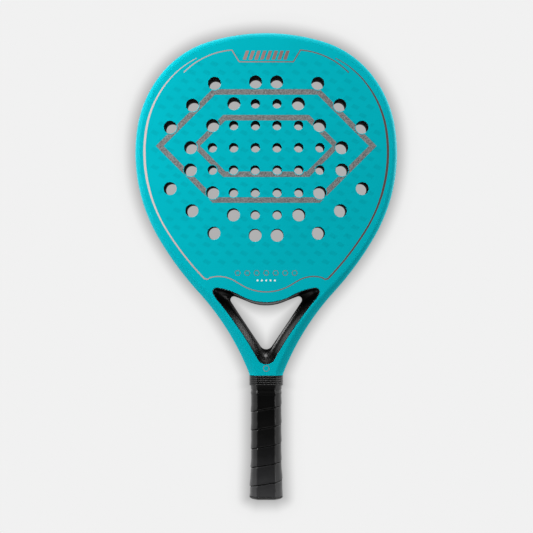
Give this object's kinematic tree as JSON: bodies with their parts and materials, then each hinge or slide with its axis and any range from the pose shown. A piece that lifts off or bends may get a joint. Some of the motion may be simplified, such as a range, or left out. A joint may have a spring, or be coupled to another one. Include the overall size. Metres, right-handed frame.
{
  "type": "padel racket",
  "caption": "Teardrop padel racket with a drilled flat head, an open lined throat and a wound octagonal grip.",
  "frame": {"origin": "middle of the butt end's flat, the lowest point with the racket upright", "axes": "+Z along the racket to the head's tip, -Y out of the front face, +X to the right seen from the front"},
  "size_m": [0.255, 0.038, 0.455],
  "materials": {
    "teal_lacquer": "satin lacquer over fibre laminate",
    "carbon_laminate": "bare cured laminate",
    "black_gloss": "gloss black moulding",
    "eva_foam": "closed-cell black foam, drilled",
    "pu_foam": "moulded rigid foam",
    "cap_nylon": "moulded black, fine texture",
    "staple_steel": "plated wire",
    "grip_pu": "perforated-look synthetic grip, wound",
    "tape_vinyl": "black vinyl tape",
    "black_rubber": "ribbed black rubber",
    "foil_transfer": "thin satin foil line under the lacquer",
    "flake_print": "grey print with fine metal flake",
    "white_print": "white screen print"
  },
  "bodies": {
    "racket": {"frame_tube": "teal_lacquer", "front_face": "teal_lacquer", "back_face": "teal_lacquer", "throat_bridge": "carbon_laminate", "throat_liner": "black_gloss", "core_foam": "eva_foam", "handle_filler": "pu_foam", "pallet_front": "pu_foam", "pallet_back": "pu_foam", "butt_cap": "cap_nylon", "cap_staple_front": "staple_steel", "cap_staple_back": "staple_steel", "base_grip": "grip_pu", "finishing_tape": "tape_vinyl"},
    "collar": {"grip_collar": "black_rubber"}
  },
  "joints": [
    {"name": "collar_slide", "type": "slide", "parent": "racket", "child": "collar", "axis": [0, 0, -1], "range_m": [0, 0.06]}
  ]
}
